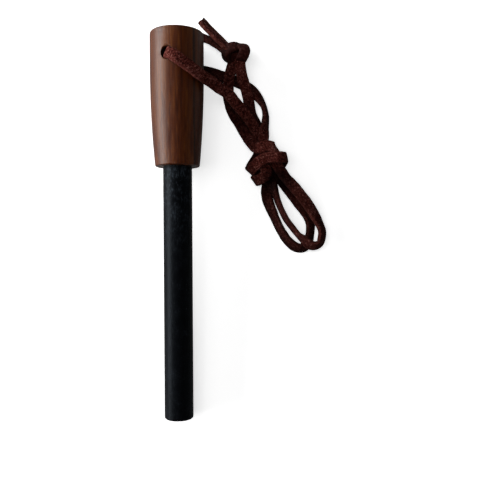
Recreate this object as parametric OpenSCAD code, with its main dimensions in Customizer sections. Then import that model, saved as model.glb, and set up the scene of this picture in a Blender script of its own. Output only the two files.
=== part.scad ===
// Fire starter: a ferrocerium rod glued into a turned walnut handle, with a flat suede lace.
// It lies on its side. +Y runs from the rod's tip to the handle's flat end and +Z is up.
// The origin is on the surface it lies on, under the middle of the handle and rod.

/* [Handle] */
// Length of the handle along its axis
handle_l = 46; // [38:1:60]
// Diameter of the handle at its flat end
handle_d = 18.6; // [17:0.2:24]
// Diameter of the handle where the rod leaves it
neck_d = 15.4; // [14:0.2:16.6]
// Length of the straight part at the flat end
straight_l = 12; // [8:1:20]
// Rounding of the rim at the flat end
top_round = 0.6; // [0.3:0.1:1.2]
// Rounding of the rim where the rod leaves
neck_round = 0.4; // [0.2:0.1:1]

/* [Rod] */
// Diameter of the ferrocerium rod
rod_d = 10; // [8:0.5:11]
// Length of the rod outside the handle
rod_out_l = 87.5; // [60:0.5:110]
// Length of the rod inside the handle
rod_in_l = 27.5; // [15:0.5:27.5]
// Chamfer at the rod's free end
tip_chamfer = 0.4; // [0.2:0.1:1]

/* [Glue] */
// Thickness of glue round the rod
glue_side = 0.15; // [0.1:0.05:0.3]
// Thickness of glue under the rod's inner end
glue_end = 0.5; // [0.3:0.1:1]

/* [Lace hole] */
// Diameter of the cross hole for the lace
lace_hole_d = 4; // [4:0.1:5]
// Distance of the hole's axis from the flat end
lace_hole_in = 9; // [8:0.5:10]
// Turn of the hole about the handle's axis, from straight up
lace_hole_roll = 21; // [15:1:25]
// Width of the easing cut round each mouth of the hole
mouth_ease = 0.5; // [0.3:0.1:0.8]

/* [Lace] */
// Width of the flat lace
lace_w = 3.8; // [3:0.1:3.8]
// Thickness of the flat lace
lace_t = 1.7; // [1.2:0.1:1.7]
// Corner bevel of the lace's section
lace_bevel = 0.5; // [0.2:0.1:0.5]

/* [Hidden] */

handle_r = handle_d / 2;
neck_r = neck_d / 2;
rod_r = rod_d / 2;
socket_r = rod_r + glue_side;
socket_l = rod_in_l + glue_end;
total_l = handle_l + rod_out_l;

// The handle's side past the straight part is one arc, tangent to it
curve_l = handle_l - straight_l;
curve_drop = handle_r - neck_r;
curve_r = (curve_l * curve_l + curve_drop * curve_drop) / (2 * curve_drop);

// The part lies on the handle's curve and on the rim of the rod's tip, so its axis is tilted
// by the tangent from that rim to the curve's arc
arc_along = total_l - straight_l - tip_chamfer;
arc_up = handle_r - curve_r - rod_r;
tilt = atan2(arc_up, arc_along) + asin(curve_r / norm([arc_along, arc_up]));
tip_height = rod_r * cos(tilt) - tip_chamfer * sin(tilt);
// How far each tilted end reaches past the end of the axis
top_reach = (handle_r - top_round) * sin(tilt) + top_round * (1 - cos(tilt));
tip_reach = (rod_r - tip_chamfer) * sin(tilt);

// Steps of the rounded rims and of the handle's curve, and sides of what is turned
rim_steps = 6;
curve_steps = 20;
round_fn = 64;
// How far a cut runs past the faces that it opens
past = 4;

// Moves a piece that is drawn along Z, from the rod's tip at 0 to the flat end, to where it lies
module lying() {
    translate([0, (tip_reach - top_reach - total_l * cos(tilt)) / 2, tip_height])
        rotate([tilt - 90, 0, 0]) children();
}

// Point of a rounded corner: centre, radius and angle
function arc_point(c, r, a) = [c[0] + r * cos(a), c[1] + r * sin(a)];

function handle_side(s) = s <= straight_l ? handle_r
    : handle_r - curve_r + sqrt(curve_r * curve_r - (s - straight_l) * (s - straight_l));

handle_outline = concat(
    [[0, rod_out_l]],
    [for (i = [0:rim_steps]) arc_point([neck_r - neck_round, rod_out_l + neck_round], neck_round,
                                       -90 + 90 * i / rim_steps)],
    [for (i = [1:curve_steps]) let (s = handle_l - neck_round - (curve_l - neck_round) * i / curve_steps)
        [handle_side(s), total_l - s]],
    [for (i = [0:rim_steps]) arc_point([handle_r - top_round, total_l - top_round], top_round,
                                       90 * i / rim_steps)],
    [[0, total_l]]);

// The cross hole, with a cone at each mouth that widens it by mouth_ease where it meets the surface
module lace_bore() {
    hole_r = lace_hole_d / 2;
    translate([0, 0, total_l - lace_hole_in]) rotate([0, 0, -lace_hole_roll]) rotate([-90, 0, 0]) {
        cylinder(r = hole_r, h = handle_d + past, center = true, $fn = round_fn);
        for (side = [0, 180]) rotate([side, 0, 0]) translate([0, 0, handle_r - 2 * mouth_ease])
            cylinder(r1 = hole_r - mouth_ease, r2 = hole_r + 2 * mouth_ease, h = 3 * mouth_ease,
                     $fn = round_fn);
    }
}

module handle() {
    color("saddlebrown") lying() difference() {
        rotate_extrude($fn = round_fn) polygon(handle_outline);
        translate([0, 0, rod_out_l - past]) cylinder(r = socket_r, h = socket_l + past, $fn = round_fn);
        lace_bore();
    }
}

module ferro_rod() {
    outline = [[0, 0], [rod_r - tip_chamfer, 0], [rod_r, tip_chamfer],
               [rod_r, rod_out_l + rod_in_l], [0, rod_out_l + rod_in_l]];
    color("dimgray") lying() rotate_extrude($fn = round_fn) polygon(outline);
}

// Glue round the rod's shank and under its inner end, filling the socket
module glue_bond() {
    color("khaki") lying() translate([0, 0, rod_out_l]) difference() {
        cylinder(r = socket_r, h = socket_l, $fn = round_fn);
        translate([0, 0, -past]) cylinder(r = rod_r, h = rod_in_l + past, $fn = round_fn);
    }
}

// The lace is one piece, followed from the middle of the cross hole along two routes to the end knot.
// Each row is a point of the lace's middle line and then the way its flat face looks there.
front_route = [
    [0, 57.6, 9.7, -9, 0, -3.5], [-1.6, 57.4, 14.4, -9, 2, -3.5], [-2.8, 57.1, 17.8, -8, 3.5, -3],
    [-2.9, 56.8, 19.1, -8, 4, 1], [-2, 56.2, 20.2, -4, 2, 8], [-0.2, 55.1, 20.6, 1, 0, 9],
    [2, 53.7, 20.1, 1, 0, 9], [5, 51.9, 19.1, 3, 0, 8], [8.2, 50.2, 16.8, 3, 0, 8],
    [11.4, 49.1, 13.8, 0, 0, 9], [14.5, 47.9, 10.7, 0, 0, 9], [17.8, 46.6, 8, 0, 0, 9],
    [21.2, 43.3, 5.8, 0, 0, 9], [24.4, 40, 4.4, 0, 0, 9], [26.6, 37.3, 3.4, 0, 0, 9],
    [28.3, 34.6, 2.8, 0, 0, 9], [29.8, 31.9, 2.7, 0, 0, 9], [30.7, 29.3, 2.7, 0, 0, 9],
    [32.2, 25.7, 2.7, 0, 0, 9], [34.3, 22.2, 2.7, 0, 0, 9], [36, 19.2, 2.75, 0, 0, 9],
    [37.4, 17, 2.7, 0, 0, 9], [39, 14.8, 2.4, 0, 0, 9], [41.2, 12, 2.1, 0, 0, 9],
    [43.4, 9.1, 2, 1, 0, 9], [45.4, 6.5, 2, 2, 1, 8], [47, 4, 2, 4, 2, 8],
    [47.9, 1.3, 1.9, 5, 1, 7], [47.9, -1.5, 1.8, 6, 0, 6], [47.4, -4.4, 1.6, 5, -2, 7],
    [46.2, -6.6, 1.35, 2, -3, 8], [44.3, -7.7, 1.6, 0, -6, 6], [41.9, -7, 1.7, -3, -6, 6],
    [39.3, -4.7, 1.8, -6, -5, 5], [36.9, -1.1, 2, -8, -4, 5], [35.2, 2.5, 2, -8, -4, 5],
    [33.9, 5.7, 1.9, -7, -3, 6], [32.5, 9.3, 1.6, -5, -1, 8], [32, 12.6, 1.2, -2, 0, 9],
    [32.3, 15.2, 0.95, 0, 0, 9], [33.8, 17.7, 0.9, 0, 0, 9], [35.6, 20.3, 0.9, 0, 0, 9],
    [37.3, 22.9, 1, 0, 0, 9], [38.2, 24.3, 1.4, -6, -3, 6], [38.7, 25, 3, -9, -2, 1],
    [38.3, 24.9, 4.9, -7, -1, -5], [37, 24.7, 6.3, -3, 0, -8], [35.4, 24.6, 6.9, 0, 0, -9],
    [33.2, 24.5, 6.9, 0, 0, -9], [31.2, 24.2, 6.9, 0, 0, -9], [29.4, 23.4, 6.9, 0, 0, -9],
    [28.4, 22.7, 6.6, 2, 2, -8], [27.1, 21.5, 5.4, 5, 5, -6], [26.2, 20.5, 3.7, 7, 6, -1],
    [26, 20.4, 2.05, 6, 6, 4], [26.4, 21.6, 1, 2, 3, 8], [27.6, 23.7, 0.9, 0, 0, 9],
    [29, 25.9, 0.9, 0, 0, 9], [30.2, 28.6, 0.9, 0, 0, 9], [30.8, 31.6, 0.9, 0, 0, 9],
    [29.8, 34.8, 0.9, 0, 0, 9], [28.3, 37.8, 0.9, 0, 0, 9], [26.8, 40.8, 1, 0, 0, 9],
    [26, 43.9, 1.7, 0, 0, 9], [25.4, 46.7, 3, 0, 0, 9], [24.6, 49.4, 3.9, 0, 0, 9],
    [23.8, 51.8, 4.3, 0, 0, 9], [23, 54.3, 4.7, 0, 0, 9], [22.5, 57, 4.9, 0, 0, 9],
    [22.4, 60, 4.9, 0, 0, 9]];

back_route = [
    [0, 57.6, 9.7, 9, 0, 3.5], [1.6, 57.8, 5.5, 9, 0, 3.5], [2.9, 57.9, 2.1, 9, 0, 4],
    [3.5, 57.9, 1.3, 7, 0, 7], [4.7, 57.9, 1, 2, 0, 9], [7, 57.3, 0.9, 0, 0, 9],
    [10, 56.6, 0.9, 0, 0, 9], [13.3, 55.8, 0.9, 0, 0, 9], [16.3, 54.9, 0.9, 0, 0, 9],
    [19, 53.9, 0.9, 0, 0, 9], [21.6, 53.1, 0.9, 0, 0, 9], [24.2, 51.8, 0.9, 0, 0, 9],
    [26.6, 50.2, 1.1, 1, 1, 9], [28.5, 48.1, 1.6, 3, 3, 8], [30.1, 45.8, 2, 6, 4, 6],
    [31.3, 43.4, 2.1, 8, 3, 4], [31.9, 40.4, 2.1, 8, 1, 4], [31.5, 37.2, 2.8, 7, 0, 5],
    [30.9, 34, 4.2, 4, 0, 8], [30.6, 30.9, 4.6, 1, 0, 9], [31.3, 27.8, 4.6, 0, 0, 9],
    [33.9, 24.1, 4.6, 0, 0, 9], [36.6, 20.4, 4.5, 1, 1, 9], [38.7, 17.5, 4.4, 3, 2, 8],
    [40.6, 15.5, 4.3, 2, 1, 9], [42.8, 13, 4.3, 0, 0, 9], [44.9, 10.3, 4.3, 0, 0, 9],
    [47, 7.5, 4.2, 1, 0, 9], [49.2, 4, 4.1, 4, 1, 8], [50.8, 1, 4, 6, 1, 6],
    [51.8, -1.7, 3.9, 7, 0, 6], [51.6, -4.4, 3.9, 6, -3, 6], [50.5, -6.4, 4.2, 3, -7, 5],
    [48.5, -7, 4.5, 0, -7, 5], [46.6, -6.2, 4.5, -4, -6, 6], [45, -4.7, 4.3, -6, -5, 4],
    [43.1, -3.1, 4.1, -8, -6, 1], [41, -0.4, 3.7, -9, -6, 1], [38.5, 3.2, 3.4, -9, -5, 1],
    [36.2, 8.2, 3.3, -9, -4, 1], [35.1, 11.4, 3.4, -8, -4, 2], [34.3, 13.8, 3.6, -7, -4, 5],
    [33.6, 15.9, 2.9, -2, -1, 9], [32.3, 18.1, 2.65, 0, 0, 9], [31.1, 20.3, 2.7, 0, 0, 9],
    [30.5, 21.5, 3, 3, -5, 7], [30.3, 21.9, 3.75, 5, -8, 0], [30.6, 21.6, 4.55, 2, -5, -7],
    [31.2, 20.7, 4.9, 0, 0, -9], [31.6, 19.2, 4.9, 0, 0, -9], [30.9, 18, 4.7, 1, 1, -9],
    [29.4, 17.1, 4.2, 3, 2, -8], [28.1, 16.7, 3.1, 8, 4, -3], [27.8, 17, 1.9, 8, 6, 4],
    [28.4, 17.8, 1.05, 2, 3, 8], [29.3, 19, 0.9, 0, 0, 9], [30.9, 21.4, 0.9, 0, 0, 9],
    [32.6, 24, 0.9, 0, 0, 9], [33.8, 25.6, 0.9, -1, -1, 9], [34.6, 26.7, 1.5, -5, -4, 7],
    [35.1, 27.5, 2.9, -7, -6, 2], [34.9, 27.8, 4.9, -6, -5, -3], [34, 28.1, 6.3, -2, -3, -8],
    [32.8, 28.5, 6.7, -1, 0, -9], [31.4, 28.6, 6.8, 0, 0, -9], [30.1, 28.3, 6.8, 0, 0, -9],
    [28.8, 27.9, 6.3, 1, 1, -9], [27.7, 28.3, 5.2, 2, 2, -8], [26.6, 29.9, 3.8, 2, 2, -8],
    [25.4, 32, 2.2, 1, 1, -9], [24.1, 34.7, 1.1, 0, 0, -9], [22.3, 37.9, 0.9, 0, 0, -9],
    [20.2, 41.3, 0.9, 0, 0, -9], [18.9, 44.9, 1, 0, 0, -9], [18.3, 48, 1.7, 0, 0, -9],
    [18.3, 51, 2.6, 0, 0, -9], [18.6, 54, 3, 0, 0, -9], [19.4, 57, 3.1, 0, 0, -9],
    [20.2, 60, 3.1, 0, 0, -9]];

// The two short ends past the knot, and the turn of lace that shows over the knot
upper_tail_route = [
    [18.8, 63.2, 4.7, 4, 5, 7], [17.1, 65, 4.7, 4, 5, 7], [14.9, 67.3, 4.5, 4, 5, 7],
    [12.8, 69.5, 4.2, 4, 5, 7], [10.7, 71.7, 4, 4, 5, 7], [8.7, 73.9, 3.9, 4, 5, 7]];
lower_tail_route = [
    [17.9, 63.6, 2.3, 2, 5, 6], [16.1, 65, 2.1, 2, 5, 6], [14.3, 66.3, 1.9, 2, 5, 6],
    [12.2, 67.5, 1.8, 2, 5, 6], [10, 68.4, 1.8, 2, 5, 6], [7.5, 69.4, 1.8, 2, 5, 6]];
knot_band_route = [
    [20.2, 59.2, 2.4, 0, -9, -6], [17.8, 60, 2.2, -8, -5, -3], [17.2, 61.8, 4, -9, 3, 3],
    [18.7, 63, 5.8, -4, 6, 6], [21.2, 63.8, 6.5, 0, 6, 7], [23.6, 63.6, 5.8, 4, 6, 6],
    [25, 62.2, 4, 9, 1, 1], [24, 60.8, 2.2, 6, -4, -6]];

// Where each length of lace starts and ends along its route, as row numbers
front_at_knot = 16;
front_at_turn = 39;
front_at_strand = 58;
back_at_knot = 19;
back_at_turn = 46;
back_at_strand = 68;

// Smooth curve through the rows: f runs from 0 at row i to 1 at the next row
function row(route, i) = route[max(0, min(len(route) - 1, i))];
function on_route(route, i, f) = let (a = row(route, i - 1), b = row(route, i), c = row(route, i + 1),
                                      d = row(route, i + 2))
    (2 * b + (c - a) * f + (2 * a - 5 * b + 4 * c - d) * f * f + (3 * b - a - 3 * c + d) * f * f * f) / 2;
function along_route(route, i, f) = let (a = row(route, i - 1), b = row(route, i), c = row(route, i + 1),
                                         d = row(route, i + 2))
    ((c - a) + 2 * (2 * a - 5 * b + 4 * c - d) * f + 3 * (3 * b - a - 3 * c + d) * f * f) / 2;
function place(r) = [r[0], r[1], r[2]];
function face(r) = [r[3], r[4], r[5]];
function unit(v) = v / norm(v);

lace_section = let (x = lace_w / 2, z = lace_t / 2, b = lace_bevel)
    [[x, b - z], [x, z - b], [x - b, z], [b - x, z], [-x, z - b], [-x, b - z], [b - x, -z], [x - b, -z]];
sides = len(lace_section);

// One ring of the lace's section, square to its middle line
function lace_ring(route, i, f) = let (p = on_route(route, i, f), t = unit(place(along_route(route, i, f))),
                                       n = unit(face(p) - (face(p) * t) * t), w = cross(t, n))
    [for (q = lace_section) place(p) + q[0] * w + q[1] * n];
rings_a_row = 2;
function lace_rings(route, first, last) = concat(
    [for (i = [first:last - 1]) for (k = [0:rings_a_row - 1]) lace_ring(route, i, k / rings_a_row)],
    [lace_ring(route, last - 1, 1)]);

// A closed tube through the rings, all of triangles
module tube(rings) {
    last = len(rings) - 1;
    polyhedron(
        points = [for (r = rings) each r],
        faces = concat(
            [for (i = [2:sides - 1]) [0, i, i - 1]],
            [for (i = [2:sides - 1]) [last * sides, last * sides + i - 1, last * sides + i]],
            [for (k = [0:last - 1]) for (i = [0:sides - 1])
                let (a = k * sides + i, b = k * sides + (i + 1) % sides)
                each [[a, b, a + sides], [b, b + sides, a + sides]]]),
        convexity = 10);
}

// Least distance between the points of rings that are at least so many rings apart
rings_apart = 10;
function ring_gap(a, b) = min([for (p = a) for (q = b) norm(p - q)]);
function own_gap(rings) = min([for (i = [0:len(rings) - 1 - rings_apart])
    for (j = [i + rings_apart:len(rings) - 1]) ring_gap(rings[i], rings[j])]);

module lace(route, first, last) {
    color("maroon") tube(lace_rings(route, first, last));
}

// A length of lace that winds, with a note of how near it comes to itself
module wound_lace(name, route, first, last) {
    echo(str(name, " least gap to itself in mm: ", own_gap(lace_rings(route, first, last))));
    lace(route, first, last);
}

module lace_front_strand() lace(front_route, 0, front_at_knot);
module lace_front_loop() wound_lace("lace_front_loop", front_route, front_at_knot, front_at_turn);
module lace_middle_turn() wound_lace("lace_middle_turn", front_route, front_at_turn, front_at_strand);
module lace_right_strand() lace(front_route, front_at_strand, len(front_route) - 1);

module lace_back_strand() lace(back_route, 0, back_at_knot);
module lace_back_loop() wound_lace("lace_back_loop", back_route, back_at_knot, back_at_turn);
module lace_upper_turn() wound_lace("lace_upper_turn", back_route, back_at_turn, back_at_strand);
module lace_left_strand() lace(back_route, back_at_strand, len(back_route) - 1);

module lace_upper_tail() lace(upper_tail_route, 0, len(upper_tail_route) - 1);
module lace_lower_tail() lace(lower_tail_route, 0, len(lower_tail_route) - 1);

// The end knot: two lobes of wrapped lace with one turn showing over them
left_lobe = [19.5, 61.6, 3];
left_lobe_r = 2.8;
right_lobe = [22.8, 62, 3.4];
right_lobe_r = 3;
lobe_fn = 14;

module lace_end_knot() {
    color("maroon") union() {
        hull() {
            translate(left_lobe) sphere(r = left_lobe_r, $fn = lobe_fn);
            translate(right_lobe) sphere(r = right_lobe_r, $fn = lobe_fn);
        }
        tube(lace_rings(knot_band_route, 0, len(knot_band_route) - 1));
    }
}

handle();
ferro_rod();
glue_bond();
lace_front_strand();
lace_front_loop();
lace_middle_turn();
lace_right_strand();
lace_back_strand();
lace_back_loop();
lace_upper_turn();
lace_left_strand();
lace_end_knot();
lace_upper_tail();
lace_lower_tail();
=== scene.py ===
import math

import bpy
import numpy as np
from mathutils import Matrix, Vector, noise


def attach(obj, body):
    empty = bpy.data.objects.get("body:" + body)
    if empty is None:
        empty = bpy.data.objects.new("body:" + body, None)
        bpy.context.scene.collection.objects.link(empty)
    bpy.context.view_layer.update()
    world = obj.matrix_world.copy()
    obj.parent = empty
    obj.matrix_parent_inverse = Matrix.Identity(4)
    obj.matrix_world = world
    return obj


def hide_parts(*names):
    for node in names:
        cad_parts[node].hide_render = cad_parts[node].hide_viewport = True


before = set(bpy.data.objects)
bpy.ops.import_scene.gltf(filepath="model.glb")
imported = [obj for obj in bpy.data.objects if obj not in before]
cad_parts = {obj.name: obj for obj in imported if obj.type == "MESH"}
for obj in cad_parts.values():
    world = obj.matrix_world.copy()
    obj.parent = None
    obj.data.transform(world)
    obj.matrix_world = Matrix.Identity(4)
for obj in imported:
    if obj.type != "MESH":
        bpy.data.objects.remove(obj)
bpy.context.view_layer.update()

scene = bpy.context.scene


# Camera, as the photograph's: above the part and a little towards the rod's tip

PICTURE_PX = 500
FOCAL_PX = 604.75
CAMERA_AT = (0.0032423, -0.0139553, 0.2190492)
CAMERA_TURN = (0.0269, -0.1028, -0.009)

camera = bpy.data.objects.new("camera", bpy.data.cameras.new("camera"))
camera.location = CAMERA_AT
camera.rotation_euler = CAMERA_TURN
camera.data.lens = FOCAL_PX / PICTURE_PX * camera.data.sensor_width
camera.data.clip_start = 0.01
scene.collection.objects.link(camera)
scene.camera = camera


# Lace: the routes of the part's own lengths, each row a point and the way the flat face looks there

LACE_WIDTH = 0.0038
LACE_THICKNESS = 0.0017
FRONT_ROUTE = [
    (0, 0.0576, 0.0097, -9, 0, -3.5), (-0.0016, 0.0574, 0.0144, -9, 2, -3.5),
    (-0.0028, 0.0571, 0.0178, -8, 3.5, -3), (-0.0029, 0.0568, 0.0191, -8, 4, 1),
    (-0.002, 0.0562, 0.0202, -4, 2, 8), (-0.0002, 0.0551, 0.0206, 1, 0, 9),
    (0.002, 0.0537, 0.0201, 1, 0, 9), (0.005, 0.0519, 0.0191, 3, 0, 8),
    (0.0082, 0.0502, 0.0168, 3, 0, 8), (0.0114, 0.0491, 0.0138, 0, 0, 9),
    (0.0145, 0.0479, 0.0107, 0, 0, 9), (0.0178, 0.0466, 0.008, 0, 0, 9),
    (0.0212, 0.0433, 0.0058, 0, 0, 9), (0.0244, 0.04, 0.0044, 0, 0, 9),
    (0.0266, 0.0373, 0.0034, 0, 0, 9), (0.0283, 0.0346, 0.0028, 0, 0, 9),
    (0.0298, 0.0319, 0.0027, 0, 0, 9), (0.0307, 0.0293, 0.0027, 0, 0, 9),
    (0.0322, 0.0257, 0.0027, 0, 0, 9), (0.0343, 0.0222, 0.0027, 0, 0, 9),
    (0.036, 0.0192, 0.00275, 0, 0, 9), (0.0374, 0.017, 0.0027, 0, 0, 9),
    (0.039, 0.0148, 0.0024, 0, 0, 9), (0.0412, 0.012, 0.0021, 0, 0, 9),
    (0.0434, 0.0091, 0.002, 1, 0, 9), (0.0454, 0.0065, 0.002, 2, 1, 8), (0.047, 0.004, 0.002, 4, 2, 8),
    (0.0479, 0.0013, 0.0019, 5, 1, 7), (0.0479, -0.0015, 0.0018, 6, 0, 6),
    (0.0474, -0.0044, 0.0016, 5, -2, 7), (0.0462, -0.0066, 0.00135, 2, -3, 8),
    (0.0443, -0.0077, 0.0016, 0, -6, 6), (0.0419, -0.007, 0.0017, -3, -6, 6),
    (0.0393, -0.0047, 0.0018, -6, -5, 5), (0.0369, -0.0011, 0.002, -8, -4, 5),
    (0.0352, 0.0025, 0.002, -8, -4, 5), (0.0339, 0.0057, 0.0019, -7, -3, 6),
    (0.0325, 0.0093, 0.0016, -5, -1, 8), (0.032, 0.0126, 0.0012, -2, 0, 9),
    (0.0323, 0.0152, 0.00095, 0, 0, 9), (0.0338, 0.0177, 0.0009, 0, 0, 9),
    (0.0356, 0.0203, 0.0009, 0, 0, 9), (0.0373, 0.0229, 0.001, 0, 0, 9),
    (0.0382, 0.0243, 0.0014, -6, -3, 6), (0.0387, 0.025, 0.003, -9, -2, 1),
    (0.0383, 0.0249, 0.0049, -7, -1, -5), (0.037, 0.0247, 0.0063, -3, 0, -8),
    (0.0354, 0.0246, 0.0069, 0, 0, -9), (0.0332, 0.0245, 0.0069, 0, 0, -9),
    (0.0312, 0.0242, 0.0069, 0, 0, -9), (0.0294, 0.0234, 0.0069, 0, 0, -9),
    (0.0284, 0.0227, 0.0066, 2, 2, -8), (0.0271, 0.0215, 0.0054, 5, 5, -6),
    (0.0262, 0.0205, 0.0037, 7, 6, -1), (0.026, 0.0204, 0.00205, 6, 6, 4),
    (0.0264, 0.0216, 0.001, 2, 3, 8), (0.0276, 0.0237, 0.0009, 0, 0, 9),
    (0.029, 0.0259, 0.0009, 0, 0, 9), (0.0302, 0.0286, 0.0009, 0, 0, 9),
    (0.0308, 0.0316, 0.0009, 0, 0, 9), (0.0298, 0.0348, 0.0009, 0, 0, 9),
    (0.0283, 0.0378, 0.0009, 0, 0, 9), (0.0268, 0.0408, 0.001, 0, 0, 9),
    (0.026, 0.0439, 0.0017, 0, 0, 9), (0.0254, 0.0467, 0.003, 0, 0, 9),
    (0.0246, 0.0494, 0.0039, 0, 0, 9), (0.0238, 0.0518, 0.0043, 0, 0, 9),
    (0.023, 0.0543, 0.0047, 0, 0, 9), (0.0225, 0.057, 0.0049, 0, 0, 9), (0.0224, 0.06, 0.0049, 0, 0, 9)]

BACK_ROUTE = [
    (0, 0.0576, 0.0097, 9, 0, 3.5), (0.0016, 0.0578, 0.0055, 9, 0, 3.5),
    (0.0029, 0.0579, 0.0021, 9, 0, 4), (0.0035, 0.0579, 0.0013, 7, 0, 7),
    (0.0047, 0.0579, 0.001, 2, 0, 9), (0.007, 0.0573, 0.0009, 0, 0, 9), (0.01, 0.0566, 0.0009, 0, 0, 9),
    (0.0133, 0.0558, 0.0009, 0, 0, 9), (0.0163, 0.0549, 0.0009, 0, 0, 9),
    (0.019, 0.0539, 0.0009, 0, 0, 9), (0.0216, 0.0531, 0.0009, 0, 0, 9),
    (0.0242, 0.0518, 0.0009, 0, 0, 9), (0.0266, 0.0502, 0.0011, 1, 1, 9),
    (0.0285, 0.0481, 0.0016, 3, 3, 8), (0.0301, 0.0458, 0.002, 6, 4, 6),
    (0.0313, 0.0434, 0.0021, 8, 3, 4), (0.0319, 0.0404, 0.0021, 8, 1, 4),
    (0.0315, 0.0372, 0.0028, 7, 0, 5), (0.0309, 0.034, 0.0042, 4, 0, 8),
    (0.0306, 0.0309, 0.0046, 1, 0, 9), (0.0313, 0.0278, 0.0046, 0, 0, 9),
    (0.0339, 0.0241, 0.0046, 0, 0, 9), (0.0366, 0.0204, 0.0045, 1, 1, 9),
    (0.0387, 0.0175, 0.0044, 3, 2, 8), (0.0406, 0.0155, 0.0043, 2, 1, 9),
    (0.0428, 0.013, 0.0043, 0, 0, 9), (0.0449, 0.0103, 0.0043, 0, 0, 9),
    (0.047, 0.0075, 0.0042, 1, 0, 9), (0.0492, 0.004, 0.0041, 4, 1, 8), (0.0508, 0.001, 0.004, 6, 1, 6),
    (0.0518, -0.0017, 0.0039, 7, 0, 6), (0.0516, -0.0044, 0.0039, 6, -3, 6),
    (0.0505, -0.0064, 0.0042, 3, -7, 5), (0.0485, -0.007, 0.0045, 0, -7, 5),
    (0.0466, -0.0062, 0.0045, -4, -6, 6), (0.045, -0.0047, 0.0043, -6, -5, 4),
    (0.0431, -0.0031, 0.0041, -8, -6, 1), (0.041, -0.0004, 0.0037, -9, -6, 1),
    (0.0385, 0.0032, 0.0034, -9, -5, 1), (0.0362, 0.0082, 0.0033, -9, -4, 1),
    (0.0351, 0.0114, 0.0034, -8, -4, 2), (0.0343, 0.0138, 0.0036, -7, -4, 5),
    (0.0336, 0.0159, 0.0029, -2, -1, 9), (0.0323, 0.0181, 0.00265, 0, 0, 9),
    (0.0311, 0.0203, 0.0027, 0, 0, 9), (0.0305, 0.0215, 0.003, 3, -5, 7),
    (0.0303, 0.0219, 0.00375, 5, -8, 0), (0.0306, 0.0216, 0.00455, 2, -5, -7),
    (0.0312, 0.0207, 0.0049, 0, 0, -9), (0.0316, 0.0192, 0.0049, 0, 0, -9),
    (0.0309, 0.018, 0.0047, 1, 1, -9), (0.0294, 0.0171, 0.0042, 3, 2, -8),
    (0.0281, 0.0167, 0.0031, 8, 4, -3), (0.0278, 0.017, 0.0019, 8, 6, 4),
    (0.0284, 0.0178, 0.00105, 2, 3, 8), (0.0293, 0.019, 0.0009, 0, 0, 9),
    (0.0309, 0.0214, 0.0009, 0, 0, 9), (0.0326, 0.024, 0.0009, 0, 0, 9),
    (0.0338, 0.0256, 0.0009, -1, -1, 9), (0.0346, 0.0267, 0.0015, -5, -4, 7),
    (0.0351, 0.0275, 0.0029, -7, -6, 2), (0.0349, 0.0278, 0.0049, -6, -5, -3),
    (0.034, 0.0281, 0.0063, -2, -3, -8), (0.0328, 0.0285, 0.0067, -1, 0, -9),
    (0.0314, 0.0286, 0.0068, 0, 0, -9), (0.0301, 0.0283, 0.0068, 0, 0, -9),
    (0.0288, 0.0279, 0.0063, 1, 1, -9), (0.0277, 0.0283, 0.0052, 2, 2, -8),
    (0.0266, 0.0299, 0.0038, 2, 2, -8), (0.0254, 0.032, 0.0022, 1, 1, -9),
    (0.0241, 0.0347, 0.0011, 0, 0, -9), (0.0223, 0.0379, 0.0009, 0, 0, -9),
    (0.0202, 0.0413, 0.0009, 0, 0, -9), (0.0189, 0.0449, 0.001, 0, 0, -9),
    (0.0183, 0.048, 0.0017, 0, 0, -9), (0.0183, 0.051, 0.0026, 0, 0, -9),
    (0.0186, 0.054, 0.003, 0, 0, -9), (0.0194, 0.057, 0.0031, 0, 0, -9),
    (0.0202, 0.06, 0.0031, 0, 0, -9)]

UPPER_TAIL_ROUTE = [
    (0.0188, 0.0632, 0.0047, 4, 5, 7), (0.0171, 0.065, 0.0047, 4, 5, 7),
    (0.0149, 0.0673, 0.0045, 4, 5, 7), (0.0128, 0.0695, 0.0042, 4, 5, 7),
    (0.0107, 0.0717, 0.004, 4, 5, 7), (0.0087, 0.0739, 0.0039, 4, 5, 7)]

LOWER_TAIL_ROUTE = [
    (0.0179, 0.0636, 0.0023, 2, 5, 6), (0.0161, 0.065, 0.0021, 2, 5, 6),
    (0.0143, 0.0663, 0.0019, 2, 5, 6), (0.0122, 0.0675, 0.0018, 2, 5, 6),
    (0.01, 0.0684, 0.0018, 2, 5, 6), (0.0075, 0.0694, 0.0018, 2, 5, 6)]


def follow(rows, gap):
    """Smooth curve through a route's rows, with rings about gap apart: points, ways along, ways the face looks."""
    rows = np.array(rows, float)
    padded = np.vstack([rows[:1], rows, rows[-1:]])
    points, along = [], []
    for a, b, c, d in zip(padded, padded[1:], padded[2:], padded[3:]):
        steps = max(2, round(np.linalg.norm(c[:3] - b[:3]) / gap))
        for f in np.arange(steps) / steps:
            points.append((2 * b + (c - a) * f + (2 * a - 5 * b + 4 * c - d) * f**2
                           + (3 * b - a - 3 * c + d) * f**3) / 2)
            along.append((c - a) + 2 * (2 * a - 5 * b + 4 * c - d) * f + 3 * (3 * b - a - 3 * c + d) * f**2)
    points.append(rows[-1])
    along.append(along[-1])
    points, along = np.array(points), np.array(along)[:, :3]
    along /= np.linalg.norm(along, axis=1)[:, None]
    face = points[:, 3:]
    face = face - (face * along).sum(1)[:, None] * along
    face /= np.linalg.norm(face, axis=1)[:, None]
    return points[:, :3], along, face


# Section of the lace: a rectangle with worn corners, and small waves that a knife leaves in soft suede
SECTION_POINTS = 32
SECTION_POWER = 5
RING_GAP = 0.00022
EDGE_WAVE = 0.00011
NAP_WAVE = 0.00004
EDGE_WAVE_SIZE = 0.0016
NAP_WAVE_SIZE = 0.00045
EDGE_SPREAD = 1.05


def smooth_noise(points, size, shift=0.0):
    return np.array([noise.noise(Vector(p) / size + Vector((shift, 0, 0))) for p in points])


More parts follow.
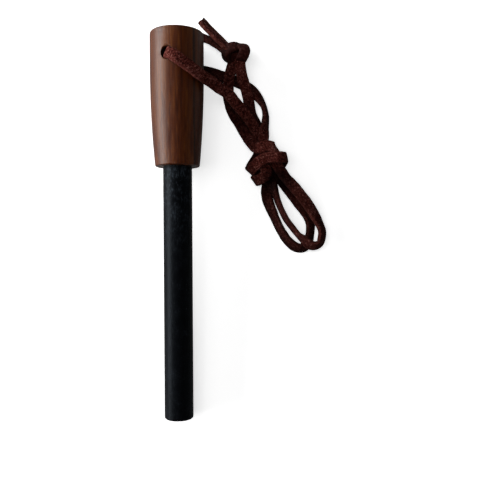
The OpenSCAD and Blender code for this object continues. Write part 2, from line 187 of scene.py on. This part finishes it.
def shown(name, mesh, finish):
    piece = bpy.data.objects.new(name, mesh)
    scene.collection.objects.link(piece)
    mesh.materials.append(finish)
    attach(piece, "root")
    return piece


def lace_strip(name, rows, width=LACE_WIDTH, thickness=LACE_THICKNESS, gap=RING_GAP, cut=0.0):
    """A length of flat lace along the rows. cut leans its far end, as scissors leave it."""
    points, along, face = follow(rows, gap)
    across = np.cross(along, face)
    turns = np.arange(SECTION_POINTS) / SECTION_POINTS * 2 * np.pi
    shape = np.abs(np.cos(turns)) ** SECTION_POWER + np.abs(np.sin(turns)) ** SECTION_POWER
    u = np.cos(turns) / shape ** (1 / SECTION_POWER)
    v = np.sin(turns) / shape ** (1 / SECTION_POWER)
    rings = (points[:, None] + across[:, None] * (u * width * EDGE_SPREAD / 2)[None, :, None]
             + face[:, None] * (v * thickness / 2)[None, :, None])
    out = across[:, None] * (np.sign(u) * np.abs(u) ** 3)[None, :, None] + face[:, None] * v[None, :, None] * 0.5
    flat = rings.reshape(-1, 3)
    wave = EDGE_WAVE * smooth_noise(flat, EDGE_WAVE_SIZE) + NAP_WAVE * smooth_noise(flat, NAP_WAVE_SIZE, 7.0)
    flat = flat + out.reshape(-1, 3) * wave[:, None]
    flat[-SECTION_POINTS:] += along[-1] * (u * cut * width)[:, None]
    n, m = len(points), SECTION_POINTS
    faces = [(k * m + i, (k + 1) * m + i, (k + 1) * m + (i + 1) % m, k * m + (i + 1) % m)
             for k in range(n - 1) for i in range(m)]
    faces.append(tuple(range(m)))
    faces.append(tuple(reversed(range((n - 1) * m, n * m))))
    mesh = bpy.data.meshes.new(name)
    mesh.from_pydata([tuple(p) for p in flat], [], faces)
    mesh.polygons.foreach_set("use_smooth", [True] * len(faces))
    mesh.update()
    edge = mesh.attributes.new("edge", "FLOAT", "POINT")
    edge.data.foreach_set("value", np.tile(np.abs(u) ** 6, n).astype(np.float32))
    return mesh, points


# Shader maths: a socket that adds Math nodes for the expressions written with it

class Value:
    def __init__(self, finish, socket):
        self.finish = finish
        self.socket = socket

    def math(self, operation, *others):
        return self.finish.node("ShaderNodeMath", {"operation": operation}, dict(enumerate((self, *others))))

    def __add__(self, other):
        return self.math("ADD", other)

    def __sub__(self, other):
        return self.math("SUBTRACT", other)

    def __rsub__(self, other):
        return self.finish.node("ShaderNodeMath", {"operation": "SUBTRACT"}, {0: other, 1: self})

    def __mul__(self, other):
        return self.math("MULTIPLY", other)

    def __truediv__(self, other):
        return self.math("DIVIDE", other)

    def __pow__(self, other):
        return self.math("POWER", other)

    __radd__ = __add__
    __rmul__ = __mul__

    def clamp(self):
        return self.math("MAXIMUM", 0.0).math("MINIMUM", 1.0)


class Finish:
    """A material under way. node() adds one node, its settings first and then what its sockets take."""

    def __init__(self, name):
        self.material = bpy.data.materials.new(name)
        self.material.use_nodes = True
        self.tree = self.material.node_tree
        self.tree.nodes.clear()

    def node(self, kind, settings=None, sockets=None, out=0):
        made = self.tree.nodes.new(kind)
        for key, value in (settings or {}).items():
            if key == "stops":
                while len(made.color_ramp.elements) < len(value):
                    made.color_ramp.elements.new(1.0)
                for element, (place, colour) in zip(made.color_ramp.elements, value):
                    element.position = place
                    element.color = (*colour, 1.0)
            else:
                setattr(made, key, value)
        for key, value in (sockets or {}).items():
            if isinstance(value, Value):
                self.tree.links.new(value.socket, made.inputs[key])
            else:
                made.inputs[key].default_value = value
        return Value(self, made.outputs[out])

    def place(self, scale=(1.0, 1.0, 1.0), turn=(0.0, 0.0, 0.0)):
        """Where a point of the part is, in metres, turned and then scaled."""
        where = self.node("ShaderNodeTexCoord", out=3)
        turned = self.node("ShaderNodeMapping", {"vector_type": "POINT"}, {0: where, 2: turn})
        return self.node("ShaderNodeMapping", {"vector_type": "POINT"}, {0: turned, 3: scale})

    def noise(self, where, scale, detail=3.0, roughness=0.5, distortion=0.0):
        return self.node("ShaderNodeTexNoise", {}, {"Vector": where, "Scale": scale, "Detail": detail,
                                                    "Roughness": roughness, "Distortion": distortion})

    def ramp(self, value, *stops):
        return self.node("ShaderNodeValToRGB", {"stops": stops}, {0: value})

    def grey_ramp(self, value, low, high):
        """0 below low and 1 above high."""
        return self.node("ShaderNodeMapRange", {"clamp": True}, {0: value, 1: low, 2: high})

    def mix(self, share, a, b):
        return self.node("ShaderNodeMix", {"data_type": "RGBA"}, {0: share, 6: a, 7: b}, out=2)

    def bump(self, height, distance, strength=1.0, normal=None):
        sockets = {"Strength": strength, "Distance": distance, "Height": height}
        if normal is not None:
            sockets["Normal"] = normal
        return self.node("ShaderNodeBump", {}, sockets)

    def shade(self, **sockets):
        names = {key.replace("_", " "): value for key, value in sockets.items()}
        surface = self.node("ShaderNodeBsdfPrincipled", {}, names)
        self.node_out(surface)
        return self.material

    def node_out(self, surface):
        output = self.tree.nodes.new("ShaderNodeOutputMaterial")
        self.tree.links.new(surface.socket, output.inputs[0])
        return self.material


def rgb(red, green, blue):
    return (red, green, blue, 1.0)


# Finishes

PART_TILT = math.radians(2.155)
ALONG_Y = (-PART_TILT, 0.0, 0.0)
HOLE_TURN = math.radians(21)
HOLE_Y = 0.05795
HOLE_Z = 0.00749
# Where along the rod, in y, it turns paler in streaks towards the handle
PALE_STREAKS_FROM = -0.015
PALE_STREAKS_TO = 0.016


def walnut_finish():
    wood = Finish("walnut")
    x, y, z = (wood.node("ShaderNodeSeparateXYZ", {}, {0: wood.place(turn=ALONG_Y)}, out=i) for i in range(3))
    wavy = wood.noise(wood.place((1.0, 0.12, 1.0), ALONG_Y), 260.0, 3.0, 0.55)
    fibre = wood.noise(wood.place((1.0, 0.035, 1.0), ALONG_Y), 1500.0, 4.0, 0.65)
    pores = wood.noise(wood.place((1.0, 0.06, 1.0), ALONG_Y), 5200.0, 2.0, 0.5)
    broad = wood.noise(wood.place((1.0, 0.1, 1.0), ALONG_Y), 110.0, 2.0, 0.5)
    # Growth rings round a heart some way off to one side
    heart_x, heart_z, ring = 0.052, -0.03, 0.0026
    away = ((x - heart_x) ** 2.0 + (z - heart_z) ** 2.0) ** 0.5
    rings = (away / ring + wavy * 2.4).math("FRACT")
    late = (rings ** 3.0) * 0.8
    streak = (fibre - 0.5) * 1.5 + (broad - 0.5) * 1.0
    tone = (0.50 + streak - late * 0.2).clamp()
    wood_colour = wood.ramp(tone, (0.0, (0.022, 0.0030, 0.0003)), (0.35, (0.057, 0.0105, 0.0008)),
                            (0.7, (0.104, 0.0275, 0.0024)), (1.0, (0.160, 0.0560, 0.0090)))
    # One dark vein to the right of the middle
    vein_x, vein_w = 0.0057, 0.00024
    off = (x - vein_x + (wavy - 0.5) * 0.0016) / vein_w
    vein = (1.0 - off * off * 0.25).clamp()
    colour = wood.mix(vein * 0.9, wood_colour, rgb(0.008, 0.0018, 0.0006))
    pore = wood.grey_ramp(pores, 0.60, 0.70)
    colour = wood.mix(pore * 0.35, colour, rgb(0.022, 0.0048, 0.0018))
    # Painted shade: the cross hole's wall darkened near black, as it is always in shade
    aside = x * math.cos(HOLE_TURN) + (z - HOLE_Z) * math.sin(HOLE_TURN)
    from_hole = (aside * aside + (y - HOLE_Y) ** 2.0) ** 0.5
    hole_wall_shade = 1.0 - wood.grey_ramp(from_hole, 0.00206, 0.0023)
    colour = wood.mix(hole_wall_shade * 0.9, colour, rgb(0.004, 0.0016, 0.0010))
    turned = wood.noise(wood.place((0.15, 1.0, 0.15), ALONG_Y), 2400.0, 3.0, 0.6)
    height = fibre * 0.6 - pore * 0.15 + turned * 0.7
    return wood.shade(Base_Color=colour, Roughness=0.43 + (fibre - 0.5) * 0.24 + (turned - 0.5) * 0.3, Normal=wood.bump(height, 0.0001),
                      Specular_IOR_Level=0.34, Specular_Tint=rgb(1.0, 0.96, 0.92))


def ferro_finish():
    rod = Finish("ferrocerium")
    where = rod.place()
    x, y, z = (rod.node("ShaderNodeSeparateXYZ", {}, {0: where}, out=i) for i in range(3))
    grain = rod.noise(where, 2200.0, 5.0, 0.7)
    patch = rod.noise(where, 260.0, 4.0, 0.6)
    streak = rod.noise(rod.place((1.0, 0.4, 1.0)), 1900.0, 4.0, 0.65)
    pits = rod.node("ShaderNodeTexVoronoi", {}, {"Vector": where, "Scale": 1500.0})
    pit = 1.0 - rod.grey_ramp(pits, 0.08, 0.34)
    speck = rod.grey_ramp(rod.noise(where, 1700.0, 2.0), 0.75, 0.78)
    dark = rod.ramp(grain * 0.6 + patch * 0.4, (0.3, (0.0006, 0.0006, 0.0008)), (0.55, (0.0022, 0.0026, 0.0034)),
                    (0.72, (0.0110, 0.0136, 0.0180)))
    # Paler in streaks towards the handle, along the rod
    pale_streaks = rod.grey_ramp(y, PALE_STREAKS_FROM, PALE_STREAKS_TO) * rod.grey_ramp(streak + patch * 0.5, 0.76, 0.90)
    colour = rod.mix(pale_streaks * 0.5, dark, rgb(0.034, 0.042, 0.052))
    colour = rod.mix(speck * 0.6, colour, rgb(0.1, 0.11, 0.125))
    rough = 0.16 + patch * 0.26 + streak * 0.22
    return rod.shade(Base_Color=colour, Roughness=rough, Specular_IOR_Level=0.06, Specular_Tint=rgb(0.72, 0.86, 1.0),
                     Normal=rod.bump(grain * 0.5 + streak * 0.3 - pit * 0.6, 0.00008))


# Painted shade on the lace, by height in metres: darker from the top height down to the middle one, and towards near
# black from the middle one down to the lowest
DEEP_SHADE_Z = 0.0014
SHADE_LOW_Z = 0.0024
SHADE_HIGH_Z = 0.0085
# Painted shade: the lace is darker in its loops, fully below the first y and fading out by the second
LOOP_SHADE_FROM = 0.010
LOOP_SHADE_TO = 0.024
SHADE_AT = (0.0355, 0.0165, 0.0030)
SHADE_FROM = 0.0034
SHADE_TO = 0.0072


def suede_finish(name, smooth=False):
    hide = Finish(name)
    where = hide.place()
    nap = hide.noise(where, 2900.0, 4.0, 0.7)
    clump = hide.noise(where, 1300.0, 3.0, 0.6)
    cloud = hide.noise(where, 240.0, 2.0, 0.5)
    edge = hide.node("ShaderNodeAttribute", {"attribute_name": "edge"}, {}, out=2)
    tone = 0.47 + (nap - 0.5) * (0.8 if smooth else 2.2) + (clump - 0.5) * 1.7 + (cloud - 0.5) * 0.5
    colour = hide.ramp(tone.clamp(), (0.1, (0.009, 0.0012, 0.0009)), (0.42, (0.055, 0.0090, 0.0064)),
                       (0.7, (0.128, 0.0310, 0.0240)), (1.0, (0.300, 0.1420, 0.1200)))
    colour = hide.mix(edge * 0.2, colour, rgb(0.15, 0.048, 0.036))
    if smooth:
        colour = hide.mix(0.6, colour, rgb(0.012, 0.0018, 0.0010))
    # Painted shade: the loops darkened, as the lamps alone leave them too bright
    loops = 1.0 - hide.grey_ramp(hide.node("ShaderNodeSeparateXYZ", {}, {0: where}, out=1), LOOP_SHADE_FROM, LOOP_SHADE_TO)
    colour = hide.mix(loops * 0.4, colour, rgb(0.010, 0.0014, 0.0009))
    # Painted shade: the lace darker the lower it lies
    height = hide.node("ShaderNodeSeparateXYZ", {}, {0: where}, out=2)
    low = 1.0 - hide.grey_ramp(height, SHADE_LOW_Z, SHADE_HIGH_Z)
    colour = hide.mix(low * (0.70 if smooth else 0.58), colour, rgb(0.006, 0.0012, 0.0009))
    # Painted shade: near black where the lace lies lowest, under other strands and on the floor
    under = 1.0 - hide.grey_ramp(height, DEEP_SHADE_Z, SHADE_LOW_Z)
    colour = hide.mix(under * 0.6, colour, rgb(0.0015, 0.0005, 0.0005))
    # In the hank knot's shade, where the loops come out from under it
    from_shade = hide.node("ShaderNodeVectorMath", {"operation": "DISTANCE"}, {0: where, 1: SHADE_AT}, out=1)
    shade = 1.0 - hide.grey_ramp(from_shade, SHADE_FROM, SHADE_TO)
    colour = hide.mix(shade * 0.88, colour, rgb(0.0015, 0.0005, 0.0005))
    if smooth:
        return hide.shade(Base_Color=colour, Roughness=0.72, Normal=hide.bump(nap + clump, 0.0002),
                          Specular_IOR_Level=0.12)
    return hide.shade(Base_Color=colour, Roughness=0.88, Normal=hide.bump(nap + clump * 0.7, 0.00022),
                      Sheen_Weight=0.02, Sheen_Roughness=0.45, Sheen_Tint=rgb(0.75, 0.36, 0.30),
                      Specular_IOR_Level=0.05)


def glue_finish():
    glue = Finish("cured_glue")
    cloud = glue.noise(glue.place(), 700.0, 2.0)
    colour = glue.mix(cloud, rgb(0.16, 0.1, 0.045), rgb(0.32, 0.22, 0.1))
    return glue.shade(Base_Color=colour, Roughness=0.3)


walnut, ferrocerium, cured_glue = walnut_finish(), ferro_finish(), glue_finish()
suede, suede_grain_side = suede_finish("suede"), suede_finish("suede_grain_side", smooth=True)

for node, finish in (("handle", walnut), ("ferro_rod", ferrocerium), ("glue_bond", cured_glue)):
    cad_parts[node].data.materials.clear()
    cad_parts[node].data.materials.append(finish)


# End knot: two turns of lace side by side over a core, under which the strands and the tails run

KNOT_LACE_WIDTH = 0.0037
KNOT_LACE_THICKNESS = 0.0016
LEFT_TURN = [
    (0.0204, 0.0612, 0.0013, 0, -5, -8), (0.0190, 0.0601, 0.0022, -3, -8, -3),
    (0.0176, 0.0606, 0.0036, -8, -5, 2), (0.0172, 0.0619, 0.0049, -8, -1, 5),
    (0.0181, 0.0633, 0.0058, -4, 2, 8), (0.0198, 0.0641, 0.0060, -1, 3, 8),
    (0.0215, 0.0644, 0.0053, 1, 4, 8), (0.0228, 0.0643, 0.0038, 4, 3, 7),
    (0.0236, 0.0634, 0.0026, 7, 1, 3)]
RIGHT_TURN = [
    (0.0222, 0.0650, 0.0016, 0, 4, -8), (0.0223, 0.0655, 0.0034, -1, 9, 1),
    (0.0231, 0.0644, 0.0057, 1, 5, 7), (0.0240, 0.0628, 0.0068, 2, 0, 9),
    (0.0236, 0.0612, 0.0069, 1, -3, 8), (0.0229, 0.0600, 0.0059, 0, -7, 6),
    (0.0225, 0.0598, 0.0040, 0, -9, 0), (0.0222, 0.0612, 0.0022, 0, -4, -8)]


def knot_core(name, centre, size):
    """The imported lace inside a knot: a ball drawn out to size, with folds."""
    bm = bpy.data.meshes.new(name)
    around, up = 40, 24
    verts = [(0, 0, -1)]
    for j in range(1, up):
        b = math.pi * (j / up - 0.5)
        verts += [(math.cos(b) * math.cos(2 * math.pi * i / around), math.cos(b) * math.sin(2 * math.pi * i / around),
                   math.sin(b)) for i in range(around)]
    verts.append((0, 0, 1))
    verts = np.array(verts) * size / 2 + centre
    lumps = 1 + 0.10 * smooth_noise(verts, 0.0016)
    verts = (verts - centre) * lumps[:, None] + centre
    faces = [(0, 1 + (i + 1) % around, 1 + i) for i in range(around)]
    for j in range(up - 2):
        a, b = 1 + j * around, 1 + (j + 1) * around
        faces += [(a + i, a + (i + 1) % around, b + (i + 1) % around, b + i) for i in range(around)]
    top, last = len(verts) - 1, 1 + (up - 2) * around
    faces += [(last + i, last + (i + 1) % around, top) for i in range(around)]
    bm.from_pydata([tuple(v) for v in verts], [], faces)
    bm.polygons.foreach_set("use_smooth", [True] * len(faces))
    bm.update()
    return bm


front_mesh, front_path = lace_strip("lace_front", FRONT_ROUTE)
back_mesh, back_path = lace_strip("lace_back", BACK_ROUTE)
upper_mesh, _ = lace_strip("lace_upper_tail", UPPER_TAIL_ROUTE, cut=0.2)
lower_mesh, _ = lace_strip("lace_lower_tail", LOWER_TAIL_ROUTE, cut=-0.06)
left_mesh, _ = lace_strip("end_knot_left_turn", LEFT_TURN, KNOT_LACE_WIDTH, KNOT_LACE_THICKNESS)
right_mesh, _ = lace_strip("end_knot_right_turn", RIGHT_TURN, KNOT_LACE_WIDTH, KNOT_LACE_THICKNESS)
core_mesh = knot_core("end_knot_core", np.array((0.0208, 0.0620, 0.0031)), np.array((0.0062, 0.0054, 0.0046)))

lace_front = shown("lace_front", front_mesh, suede)
lace_back = shown("lace_back", back_mesh, suede)
tails = [shown("lace_upper_tail_piece", upper_mesh, suede),
         shown("lace_lower_tail_piece", lower_mesh, suede)]
knot = [shown("end_knot_core", core_mesh, suede_grain_side),
        shown("end_knot_left_turn", left_mesh, suede_grain_side),
        shown("end_knot_right_turn", right_mesh, suede_grain_side)]

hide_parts("lace_front_strand", "lace_front_loop", "lace_middle_turn", "lace_right_strand")
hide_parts("lace_back_strand", "lace_back_loop", "lace_upper_turn", "lace_left_strand")
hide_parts("lace_upper_tail")
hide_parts("lace_lower_tail")
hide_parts("lace_end_knot")


# Floor, lamps and world

FLOOR_R = 0.9
COVE_R = 0.5
WALL_H = 1.6
ROUND_STEPS = 96
COVE_STEPS = 12
sheet = [(FLOOR_R, 0.0)]
sheet += [(FLOOR_R + COVE_R * math.sin(a), COVE_R * (1 - math.cos(a)))
          for a in np.linspace(0, math.pi / 2, COVE_STEPS + 1)[1:]]
sheet.append((FLOOR_R + COVE_R, WALL_H))
spin = [2 * math.pi * i / ROUND_STEPS for i in range(ROUND_STEPS)]
floor_points = [(r * math.cos(a), r * math.sin(a), z) for r, z in sheet for a in spin]
floor_faces = [tuple(range(ROUND_STEPS))]
floor_faces += [(k + i, k + (i + 1) % ROUND_STEPS, k + ROUND_STEPS + (i + 1) % ROUND_STEPS, k + ROUND_STEPS + i)
                for k in range(0, ROUND_STEPS * (len(sheet) - 1), ROUND_STEPS) for i in range(ROUND_STEPS)]
floor_mesh = bpy.data.meshes.new("floor")
floor_mesh.from_pydata(floor_points, [], floor_faces)
floor = bpy.data.objects.new("floor", floor_mesh)
floor.location.z = -0.00002
scene.collection.objects.link(floor)


def floor_finish():
    """White to the camera with the shadow kept, plain paper in reflections and grey to all other light."""
    paper = Finish("white_paper")
    ray = "ShaderNodeLightPath"
    seen, mirrored = paper.node(ray, out=0), paper.node(ray, out=3)
    grey = paper.node("ShaderNodeBsdfDiffuse", {}, {0: rgb(0.30, 0.30, 0.30)})
    shadowed = paper.node("ShaderNodeBsdfDiffuse", {}, {0: rgb(0.95, 0.95, 0.95)})
    glow = paper.node("ShaderNodeEmission", {}, {0: rgb(1, 1, 1), 1: 0.635})
    white = paper.node("ShaderNodeAddShader", {}, {0: shadowed, 1: glow})
    plain = paper.node("ShaderNodeBsdfDiffuse", {}, {0: rgb(0.5, 0.5, 0.5)})
    unseen = paper.node("ShaderNodeMixShader", {}, {0: mirrored, 1: grey, 2: plain})
    return paper.node_out(paper.node("ShaderNodeMixShader", {}, {0: seen, 1: unseen, 2: white}))


floor_mesh.materials.append(floor_finish())


def window(name, bearing, height, distance, size, level, mirrored=True):
    """A soft lamp that looks at the part, at a bearing from the left and a height in degrees.

    level is what white paper that faces the lamp would send back, with 1 as white.
    """
    bearing, height = math.radians(bearing), math.radians(height)
    away = Vector((-math.cos(height) * math.cos(bearing), math.cos(height) * math.sin(bearing), math.sin(height)))
    lamp = bpy.data.lights.new(name, "AREA")
    lamp.shape = "RECTANGLE"
    lamp.size, lamp.size_y = size
    lamp.energy = level * math.pi * distance**2 * math.pi
    piece = bpy.data.objects.new(name, lamp)
    piece.location = away * distance
    piece.rotation_euler = (-away).to_track_quat("-Z", "Y").to_euler()
    piece.visible_camera = False
    piece.visible_glossy = mirrored
    scene.collection.objects.link(piece)


window("low_window", 12, 13, 0.75, (0.95, 0.34), 2.3)
window("high_window", 12, 76, 0.7, (0.5, 0.5), 0.29, mirrored=False)
window("middle_window", 12, 52, 0.7, (0.3, 0.3), 0.12, mirrored=False)

world = bpy.data.worlds.new("room")
scene.world = world
world.use_nodes = True
world.node_tree.nodes["Background"].inputs[0].default_value = rgb(1, 1, 1)
world.node_tree.nodes["Background"].inputs[1].default_value = 0.05

scene.view_settings.view_transform = "Standard"
